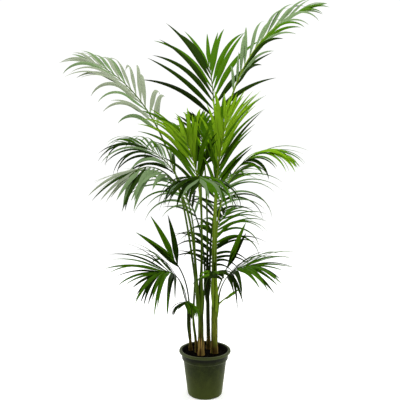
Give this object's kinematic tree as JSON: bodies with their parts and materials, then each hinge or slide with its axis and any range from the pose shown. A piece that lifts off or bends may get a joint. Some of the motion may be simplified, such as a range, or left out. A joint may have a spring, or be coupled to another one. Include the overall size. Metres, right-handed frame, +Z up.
{
  "type": "potted kentia palm",
  "caption": "Kentia palm with arching feathery fronds on slender green stems, rooted in dark soil in a tapered olive-green plastic nursery pot with a rolled rim.",
  "frame": {"origin": "centre of the pot's flat underside, on the floor", "axes": "+Z up the stems, -Y towards the front, +X towards the side that the tallest frond arches over"},
  "size_m": [1.1729, 0.9512, 1.8152],
  "materials": {
    "pot": "dull dark olive-green plastic, dusty and faintly mottled",
    "soil": "dark damp peat and bark with brown fibres",
    "stem": "green leaf sheaths with tan, brown-spotted dry husks at the foot",
    "stalk": "smooth yellow-green leaf stalk",
    "leaf": "satin green leaf, grey-green where it shines"
  },
  "bodies": {
    "root": {"pot": "pot", "potting_soil": "soil", "left_stem": "stem", "small_stem": "stem", "middle_stem": "stem", "right_stem": "stem", "back_stem": "stem", "top_right_stalk": "stalk", "top_right_frond": "leaf", "top_centre_stalk": "stalk", "top_centre_frond": "leaf", "top_left_stalk": "stalk", "top_left_frond": "leaf", "fan_right_stalk": "stalk", "fan_right_frond": "leaf", "fan_left_stalk": "stalk", "fan_left_frond": "leaf", "front_middle_stalk": "stalk", "front_middle_frond": "leaf", "grey_left_stalk": "stalk", "grey_left_frond": "leaf", "dark_left_stalk": "stalk", "dark_left_frond": "leaf", "right_middle_stalk": "stalk", "right_middle_frond": "leaf", "inner_back_stalk": "stalk", "inner_back_frond": "leaf", "back_high_stalk": "stalk", "back_high_frond": "leaf", "back_low_stalk": "stalk", "back_low_frond": "leaf", "low_left_stalk": "stalk", "low_left_frond": "leaf", "low_left_upper_stalk": "stalk", "low_left_upper_frond": "leaf", "low_right_stalk": "stalk", "low_right_frond": "leaf", "low_right_upper_stalk": "stalk", "low_right_upper_frond": "leaf", "low_tuft_stalk": "stalk", "low_tuft_frond": "leaf", "new_leaf_stalk": "stalk", "new_leaf_frond": "leaf", "back_left_stalk": "stalk", "back_left_frond": "leaf", "low_centre_stalk": "stalk", "low_centre_frond": "leaf"}
  },
  "joints": []
}
